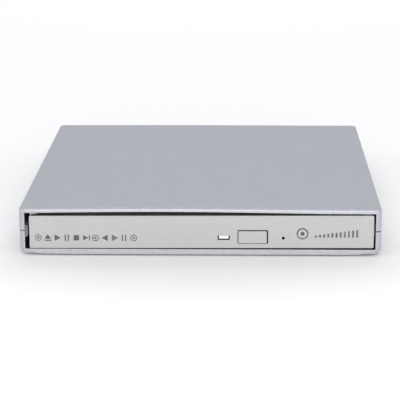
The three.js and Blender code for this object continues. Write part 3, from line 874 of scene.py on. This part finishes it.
def buildTopCover():
    halfX, halfY, corner = casing["halfWidth"], casing["halfDepth"], casing["corner"]
    top, radius, seam = casing["top"], casing["topEdge"], casing["upperSeam"]
    chamfer, shoulder = casing["chamfer"], casing["shoulder"]
    profile = [(chamfer, seam), (0, seam + chamfer), (0, shoulder), (0, top - radius)]
    profile += arc((radius, top - radius), radius, 180, 90, 7)[1:]
    profile += [(inset, top) for inset in casing["roofSteps"]]
    rings = []
    for inset, height in profile:
        ring = outlineRing(halfX - inset, halfY - inset, max(corner - inset, 0.4), height)
        risen = min(1.0, max(0.0, (height - shoulder) / (top - shoulder)))
        rings.append([(x, y, z + risen * crownAt(x, y)) for x, y, z in ring])
    mesh = meshFromRings("topCover", rings)
    cover = pieceFromMesh("topCover", mesh, "silver_paint", None, ["top_cover"])
    cutAway(cover, [openingTool(seam - 3, None)])
    softenEdges(cover, casing["edge"], 2, 35)
    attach(cover, "case")


def bellyAt(x):
    share = (casing["bellyEnd"] - abs(x)) / (casing["bellyEnd"] - casing["bellyStart"])
    share = min(1.0, max(0.0, share))
    return casing["belly"] * share * share * (3 - 2 * share)


def edgeAt(x):
    # the radius of the lower edge: small along the front and rear, large at the sides
    start, end = casing["edgeBlend"]
    share = min(1.0, max(0.0, (abs(x) - start) / (end - start)))
    blend = share * share * (3 - 2 * share)
    return casing["frontEdge"] + (casing["sideEdge"] - casing["frontEdge"]) * blend


def buildBottomCover():
    halfX, halfY, corner = casing["halfWidth"], casing["halfDepth"], casing["corner"]
    bottom, seam = casing["bottom"], casing["lowerSeam"]
    sideEdge, frontEdge = casing["sideEdge"], casing["frontEdge"]
    profile = [(inset, inset, bottom) for inset in casing["floorSteps"]]
    for index in range(10):
        angle = math.radians(10 * index)
        inwards, drop = 1 - math.sin(angle), 1 - math.cos(angle)
        profile.append((sideEdge * inwards, frontEdge * inwards, bottom + drop))
    chamfer = casing["lowerChamfer"]
    profile += [(0, 0, 6.5), (0, 0, seam - chamfer), (chamfer, chamfer, seam)]
    rings = []
    for index, (insetX, insetY, height) in enumerate(profile):
        ring = outlineRing(halfX - insetX, halfY - insetY, max(corner - 0.5 * insetX, 0.4), height)
        if index < len(profile) - 3:
            drop = height - bottom
            ring = [(x, y, bottom + drop * edgeAt(x) - bellyAt(x)) for x, y, _ in ring]
        rings.append(ring)
    mesh = meshFromRings("bottomCover", rings)
    cover = pieceFromMesh("bottomCover", mesh, "silver_paint", None, ["bottom_cover"])
    tools = [openingTool(casing["openingFloor"], seam + 3)]
    radius, depth = casing["footPocket"]
    for name in footNames:
        pocket = [(0, 0), (radius, 0), (radius, depth), (0, depth)]
        tools.append(turnedMesh("pocket", pocket, nodeCentre(name), 48))
    for name in ("case_screw_left", "case_screw_right"):
        tools.append(turnedMesh("screwWell", casing["screwWell"], nodeCentre(name), 40))
    tools.append(blockMesh("usbMouth", *casing["usbMouth"]))
    tools.append(rodMesh("jackMouth", *casing["jackMouth"]))
    tools.append(blockMesh("labelRecess", *casing["labelRecess"]))
    cutAway(cover, tools)
    softenEdges(cover, casing["edge"], 2, 35)
    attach(cover, "case")


def nodeCentre(node):
    low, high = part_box(node)
    return ((low[0] + high[0]) / 2 / mm, (low[1] + high[1]) / 2 / mm)


def rodMesh(name, centre, ends, radius, sides=40):
    # a round bar along Y through (x, z)
    rings = []
    for y in ends:
        rings.append([(x, y, z) for x, z in arc(centre, radius, 0, 360, sides)[:-1]])
    return meshFromRings(name, rings)


footLook = {"radius": 4.2, "height": 1.1, "edge": 0.35, "dish": 0.12, "rim": (0.55, 0.62)}


def buildFeet(look):
    radius, edge, dish = look["radius"], look["edge"], look["dish"]
    rimStart, rimEnd = (radius * share for share in look["rim"])
    for name in footNames:
        profile = [(0, dish), (rimStart, dish), (rimEnd, 0), (radius - edge, 0)]
        profile += arc((radius - edge, edge), edge, 270, 360, 5)[1:]
        profile += [(radius, look["height"]), (0, look["height"])]
        camel = "".join(part.capitalize() for part in name.split("_"))
        mesh = turnedMesh(camel, profile, nodeCentre(name), 48)
        piece = pieceFromMesh("rubber" + camel, mesh, "rubber", "case", [name])
        smoothByAngle(piece, 40)


def buildLabel():
    mesh = blockMesh("underLabel", *casing["label"])
    piece = pieceFromMesh("underLabel", mesh, "silver_paint", "case", (), "label")
    softenEdges(piece, 0.04, 1)


tabs = {
    "inner": 65.2,
    "wall": 66.6,
    "low": 7.1,
    "high": 12.1,
    "slope": 0.7,
    "hook": (0.5, 1.1),  # how far the lower corner is cut back, across and up
    "left": [(-70.1, -64.0), (18.0, 26.0)],
    "right": [(-67.5, -61.0), (18.0, 26.0)],
    "bossAt": [(-61.0, 63.8), (61.0, 63.8)],
    "bossRadius": 3.0,
    "bossBore": 1.2,
    "bossLow": 3.15,
    "bossHigh": 16.9,
    "bossChamfer": 0.2,
}


def buildTabs():
    # snap tabs inside the side walls, each with a lead-in slope, drawn in grey plastic as painted shade for
    # silver tabs in the shadowed gap, and the screw bosses at the rear
    count = 0
    for side, sign in (("left", -1), ("right", 1)):
        for y0, y1 in tabs[side]:
            count += 1
            outline = [
                (tabs["wall"], tabs["high"]),
                (tabs["inner"], tabs["high"] - tabs["slope"]),
                (tabs["inner"], tabs["low"] + tabs["hook"][1]),
                (tabs["inner"] + tabs["hook"][0], tabs["low"]),
                (tabs["wall"], tabs["low"]),
            ]
            rings = [[(sign * x, y, z) for x, z in outline] for y in (y0, y1)]
            mesh = meshFromRings("snapTab" + str(count), rings)
            # painted shade: the silver tabs get darker grey plastic for the shade they sit in
            tab = pieceFromMesh(mesh.name, mesh, "silver_paint", "case", ["top_cover"], "grey_plastic")
            softenEdges(tab, 0.15)
    for count, centre in enumerate(tabs["bossAt"]):
        outer, bore, low, high = (tabs[key] for key in ("bossRadius", "bossBore", "bossLow", "bossHigh"))
        chamfer = tabs["bossChamfer"]
        profile = [(bore, low), (outer - chamfer, low), (outer, low + chamfer), (outer, high), (bore, high)]
        mesh = turnedMesh("screwBoss" + str(count + 1), profile, centre, 40)
        pieceFromMesh(mesh.name, mesh, "silver_paint", "case", ["top_cover"], "bareShell")
        smoothByAngle(scene.objects[mesh.name], 40)


def buildSeamTongue():
    # the tongue between the covers, in bare dark plastic as painted shade: it stands for the shade inside the
    # seam gap and is seen as the dark line of the seam
    (outer, inner), (low, high), corner = casing["tongue"]
    rings = []
    for inset, height in ((outer, low), (outer, high), (inner, high), (inner, low)):
        rings.append(outlineRing(casing["halfWidth"] - inset, casing["halfDepth"] - inset, corner, height))
    mesh = meshFromRings("seamTongue", rings, closed=True)
    tongue = pieceFromMesh("seamTongue", mesh, "silver_paint", None, ["bottom_cover"], "bareShell")
    cutAway(tongue, [openingTool(*casing["tongueCut"])])
    smoothByAngle(tongue, 40)
    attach(tongue, "case")


buildTopCover()
buildBottomCover()
buildTabs()
buildSeamTongue()
buildFeet(footLook)
buildLabel()
print("casing built")


front = {
    "left": -64.65,
    "right": 65.55,
    "low": 3.15,
    "high": 15.85,
    "face": -70.8,
    "back": -68.5,
    "rim": 0.7,  # depth of the painted edge
    "drawIn": 1.0,  # how far the bare back lies inside it
    "lean": 0.0038,  # the right end sits a little higher
    "halfWidth": 65,
    "corner": 0.5,
    "edge": 0.132,
    "cutDepth": (-72, -67),
    "lugsX": (-42, 48),
    "lugHalf": 2.2,
    "lugEnd": -66.8,
    "lugZ": (12, 13.4),
    "buttonX": (14.52, 25.26),
    "buttonZ": (5.1, 9.88),
    "buttonHoleX": (14.24, 25.74),
    "buttonHoleZ": (4.92, 10.32),
    "buttonY": (-70.98, -68),
    "flange": ((13.4, 26.5), (-68.2, -67.7), (4.5, 10.8)),
    "stem": ((18.1, 21.9), (-67.8, -65.3), (6.6, 8.7)),
    "windowX": (7.16, 10.84),
    "windowZ": (6.86, 8.16),
    "windowHoleX": (6.74, 11.26),
    "windowHoleZ": (6.42, 8.22),
    "windowY": (-70.74, -64.9),
    "pinhole": (31.5, 7.2),
    "pinholeRadius": 0.58,
}


def roundedOutline(xRange, zRange, radius, steps):
    outline = []
    for x, z, start in (
        (xRange[1] - radius, zRange[0] + radius, -90),
        (xRange[1] - radius, zRange[1] - radius, 0),
        (xRange[0] + radius, zRange[1] - radius, 90),
        (xRange[0] + radius, zRange[0] + radius, 180),
    ):
        outline += arc((x, z), radius, start, start + 90, steps)
    return outline


def roundedBlock(name, xRange, yRange, zRange, radius, steps=4):
    # a block whose corners are round as seen from the front
    outline = roundedOutline(xRange, zRange, radius, steps)
    return meshFromRings(name, [[(x, y, z) for x, z in outline] for y in yRange])


def buildBezel():
    middle = (front["left"] + front["right"]) / 2

    def leaning(x, z):
        return z + front["lean"] * (x - middle)

    width, height = (front["left"], front["right"]), (front["low"], front["high"])
    outline = roundedOutline(width, height, front["corner"], 5)
    middleHeight = sum(height) / 2
    # the painted face is full size, and behind it the edges draw in
    rings = []
    for y, inset in ((front["face"], 0), (front["face"] + front["rim"], 0), (front["back"], front["drawIn"])):
        ring = []
        for x, z in outline:
            drawn = x * (1 - inset / front["halfWidth"])
            ring.append((drawn, y, leaning(x, z - inset * (z > middleHeight))))
        rings.append(ring)
    mesh = meshFromRings("bezelPlate", rings)
    bezel = pieceFromMesh("bezelPlate", mesh, "silver_paint", None, ["bezel"], "frontPaint")
    mesh.materials.append(materials["bareShell"])
    for face in mesh.polygons:
        if face.center.y / mm > front["face"] + front["rim"]:
            face.material_index = 1
    deep = front["cutDepth"]
    tools = [
        roundedBlock("buttonHole", front["buttonHoleX"], deep, front["buttonHoleZ"], 0.5),
        roundedBlock("windowHole", front["windowHoleX"], deep, front["windowHoleZ"], 0.25),
        rodMesh("pinhole", front["pinhole"], deep, front["pinholeRadius"], 32),
    ]
    cutAway(bezel, tools)
    softenEdges(bezel, front["edge"], 3, 40)
    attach(bezel, "tray")


def buildBezelLugs():
    half = front["lugHalf"]
    for index, x in enumerate(front["lugsX"]):
        mesh = blockMesh("lug", (x - half, x + half), (front["back"] - 0.1, front["lugEnd"]), front["lugZ"])
        lug = pieceFromMesh("bezelLug" + str(index + 1), mesh, "silver_paint", "tray", ["bezel"], "bareShell")
        softenEdges(lug, 0.12)


def buildButton():
    cap = roundedBlock("buttonCap", front["buttonX"], front["buttonY"], front["buttonZ"], 0.25)
    piece = pieceFromMesh("buttonCap", cap, "silver_paint", "eject_button", ["eject_button"], "frontPaint")
    softenEdges(piece, 0.14, 3)
    for name, sizes, edge in (("buttonFlange", front["flange"], 0.1), ("buttonStem", front["stem"], 0.15)):
        mesh = blockMesh(name, *sizes)
        part = pieceFromMesh(name, mesh, "silver_paint", "eject_button", ["eject_button"], "bareShell")
        softenEdges(part, edge)


def buildWindow():
    pipe = roundedBlock("lightPipe", front["windowX"], front["windowY"], front["windowZ"], 0.18)
    piece = pieceFromMesh("lightPipe", pipe, "clear_plastic", "tray", ["light_window"])
    softenEdges(piece, 0.1, 2)


printing = {
    "face": -70.8,
    "thickness": 0.02,
    "stroke": 0.48,
    "rowStart": -61.3,
    "rowPitch": 3.62,
    "rowHeight": 7.05,
    "symbolHalf": 1.3,
    "badge": (38.7, 8.95),
    "badgeRadius": 2.25,
    "badgeStroke": 0.55,
    "barStart": 43.4,
    "barPitch": 1.55,
    "barBase": 7.5,
    "barWidth": 0.75,
    "barCount": 11,
    "barHeights": (0.8, 0.22),  # the first, and the rise from each to the next
}


def printRing(work, centre, outer, inner, sides=40):
    outside = arc(centre, outer, 0, 360, sides)[:-1]
    inside = arc(centre, inner, 0, 360, sides)[:-1] if inner > 0 else None
    for index in range(sides):
        after = (index + 1) % sides
        if inside:
            addPrint(work, [outside[index], outside[after], inside[after], inside[index]])
        else:
            addPrint(work, [outside[index], outside[after], centre])


def addPrint(work, points):
    y = printing["face"] - printing["thickness"]
    work.faces.new([work.verts.new(Vector((x, y, z)) * mm) for x, z in points])


def printBar(work, x0, x1, z0, z1):
    addPrint(work, [(x0, z0), (x1, z0), (x1, z1), (x0, z1)])


def printTriangle(work, x, z, half, toRight):
    tip = half if toRight else -half
    addPrint(work, [(x - tip * 0.8, z - half), (x - tip * 0.8, z + half), (x + tip, z)])


def printSymbol(work, kind, x, z, half):
    stroke = printing["stroke"]
    if kind == "disc":
        printRing(work, (x, z), half, half - stroke * 0.75)
        printRing(work, (x, z), half * 0.36, 0, 20)
    elif kind == "play":
        printTriangle(work, x, z, half, True)
    elif kind == "back":
        printTriangle(work, x, z, half, False)
    elif kind == "stop":
        printBar(work, x - half * 0.8, x + half * 0.8, z - half * 0.8, z + half * 0.8)
    elif kind == "pause":
        for side in (-1, 1):
            middle = x + side * half * 0.45
            printBar(work, middle - stroke / 2, middle + stroke / 2, z - half, z + half)
    elif kind == "eject":
        printBar(work, x - half, x + half, z - half, z - half + stroke)
        addPrint(work, [(x - half, z - half * 0.35), (x + half, z - half * 0.35), (x, z + half)])
    elif kind == "skip":
        printTriangle(work, x - half * 0.15, z, half * 0.85, True)
        printBar(work, x + half * 0.85, x + half * 0.85 + stroke * 0.8, z - half * 0.85, z + half * 0.85)


def buildPrint():
    # plain media symbols along the left, and a disc badge with level bars on the right
    work = bmesh.new()
    row = ["disc", "eject", "play", "pause", "stop", "skip", "disc", "back", "play", "pause", "disc"]
    for index, kind in enumerate(row):
        x = printing["rowStart"] + index * printing["rowPitch"]
        printSymbol(work, kind, x, printing["rowHeight"], printing["symbolHalf"])
    badge, radius = printing["badge"], printing["badgeRadius"]
    printRing(work, badge, radius, radius - printing["badgeStroke"])
    printRing(work, badge, radius * 0.34, 0, 24)
    first, rise = printing["barHeights"]
    base = printing["barBase"]
    for index in range(printing["barCount"]):
        left = printing["barStart"] + index * printing["barPitch"]
        printBar(work, left, left + printing["barWidth"], base, base + first + rise * index)
    bmesh.ops.remove_doubles(work, verts=work.verts, dist=1e-7)
    thick = bmesh.ops.extrude_face_region(work, geom=list(work.faces))
    moved = [item for item in thick["geom"] if isinstance(item, bmesh.types.BMVert)]
    bmesh.ops.translate(work, verts=moved, vec=Vector((0, printing["thickness"] * 0.9, 0)) * mm)
    bmesh.ops.recalc_face_normals(work, faces=work.faces)
    # the same order on every run: sort() without a key follows the indices
    for index, vert in enumerate(sorted(work.verts, key=lambda vert: tuple(vert.co))):
        vert.index = index
    for index, face in enumerate(sorted(work.faces, key=lambda face: tuple(face.calc_center_median()))):
        face.index = index
    work.verts.sort()
    work.faces.sort()
    mesh = bpy.data.meshes.new("frontPrint")
    work.to_mesh(mesh)
    work.free()
    pieceFromMesh("frontPrint", mesh, "grey_plastic", "tray", (), "print")
    scene.objects["frontPrint"].data.shade_flat()


buildBezel()
buildBezelLugs()
buildButton()
buildWindow()
buildPrint()
print("front built")


ribbon = {
    "acrossX": (25.5, 37.5),
    "thickness": 0.15,
    "lowerLeg": 3.8,
    "upperLeg": 6.55,
    "rollY": -24.0,
    "fixedEnd": 46.8,
    "trayEnd": 40.0,
    "lowerParts": 2,
    "upperParts": 3,
    "stiffenerLength": 4.0,
    "stiffenerThickness": 0.12,
}


def ribbonPart(name, centreLine):
    # centreLine runs from one end of the part to the other
    x0, x1 = ribbon["acrossX"]
    half = ribbon["thickness"] / 2
    rings = []
    for index, (y, z) in enumerate(centreLine):
        before = Vector(centreLine[max(index - 1, 0)])
        after = Vector(centreLine[min(index + 1, len(centreLine) - 1)])
        along = (after - before).normalized()
        offY, offZ = -along.y * half, along.x * half
        rings.append(
            [
                (x0, y - offY, z - offZ),
                (x1, y - offY, z - offZ),
                (x1, y + offY, z + offZ),
                (x0, y + offY, z + offZ),
            ]
        )
    piece = pieceFromMesh(name, meshFromRings(name, rings), "amber_film", None, ["flex_ribbon"])
    smoothByAngle(piece, 40)
    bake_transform(piece)


def buildRibbon():
    middle = (ribbon["lowerLeg"] + ribbon["upperLeg"]) / 2
    radius = middle - ribbon["lowerLeg"] - ribbon["thickness"] / 2
    apex = ribbon["rollY"] - radius
    for leg, parts, outerEnd, low, high, angles in (
        ("lower", ribbon["lowerParts"], ribbon["fixedEnd"], 0.0, 0.5, (180, 270)),
        ("upper", ribbon["upperParts"], ribbon["trayEnd"], 1.0, 0.5, (180, 90)),
    ):
        height = middle - radius if leg == "lower" else middle + radius
        bend = arc((ribbon["rollY"], middle), radius, *angles, 14)
        for part in range(parts):
            ends = [apex + (outerEnd - apex) * (part + step) / parts for step in (0, 1)]
            line = []
            if part == 0:
                line = list(bend)
                ends[0] = ribbon["rollY"] + 0.5
            for step in range(13):
                line.append((ends[0] + (ends[1] - ends[0]) * step / 12, height))
            ribbonPart(leg + "Ribbon" + str(part + 1), line)
    for name, body, y1, height in (
        ("fixedStiffener", "case", ribbon["fixedEnd"], ribbon["lowerLeg"] + ribbon["thickness"]),
        ("trayStiffener", "tray", ribbon["trayEnd"], ribbon["upperLeg"]),
    ):
        ends = (y1 - ribbon["stiffenerLength"], y1)
        mesh = blockMesh(name, ribbon["acrossX"], ends, (height, height + ribbon["stiffenerThickness"]))
        piece = pieceFromMesh(name, mesh, "amber_film", body, ["flex_ribbon"], "film_blue")
        softenEdges(piece, 0.03, 1)


# painted shade: black strips that darken the gaps round the mouth
shadeStrips = {
    "halfLength": 62.0,
    "upper": [(-68.42, 14.9), (-68.42, 16.2), (-58.0, 16.2), (-58.0, 15.82), (-67.88, 15.82), (-67.88, 14.9)],
    "lower": [(-68.42, 2.76), (-68.42, 3.8), (-68.08, 3.8), (-68.08, 2.76)],
}


def buildShadeStrips():
    # painted shade: thin black strips round the mouth, put there to darken the gaps that lie in shade: one
    # over the drive's front edge, one under it
    for name in ("upper", "lower"):
        ends = (-shadeStrips["halfLength"], shadeStrips["halfLength"])
        mesh = meshFromRings(name + "ShadeStrip", [[(x, y, z) for y, z in shadeStrips[name]] for x in ends])
        piece = pieceFromMesh(mesh.name, mesh, "rubber", "case")
        softenEdges(piece, 0.06)


buildRibbon()
buildShadeStrips()
print("ribbon and baffles built")


keptEdges = {
    "silver_paint": 0.15,
    "black_plastic": 0.14,
    "grey_plastic": 0.12,
    "zinc_steel": 0.08,
    "bright_steel": 0.08,
    "black_steel": 0.06,
    "rubber": 0.15,
    "circuit_board": 0.05,
    "chip_black": 0.08,
    "amber_film": 0.02,
    "clear_plastic": 0.08,
    "copper": 0.1,
    "lens_glass": 0.03,
}
dressing = {"weld": 1e-6, "flatWithin": 1, "bevelFrom": 35, "sharpFrom": 40}  # metres, then degrees


def dressNodes():
    slots = {part["node"]: part["material_slot"] for part in frame["record"]["subparts"]}
    for name, node in frame["nodes"].items():
        slot = slots[name]
        node.data.materials.clear()
        node.data.materials.append(materials[slot])
        weld = node.modifiers.new("weld", "WELD")
        weld.merge_threshold = dressing["weld"]
        plain = node.modifiers.new("flatFaces", "DECIMATE")
        plain.decimate_type = "DISSOLVE"
        plain.angle_limit = math.radians(dressing["flatWithin"])
        bevel = node.modifiers.new("softEdges", "BEVEL")
        bevel.width = keptEdges[slot] * mm
        bevel.segments = 2
        bevel.limit_method = "ANGLE"
        bevel.angle_limit = math.radians(dressing["bevelFrom"])
        node.data.shade_smooth()
        sharp = node.modifiers.new("sharpEdges", "EDGE_SPLIT")
        sharp.split_angle = math.radians(dressing["sharpFrom"])


dressNodes()
print("frame nodes dressed")
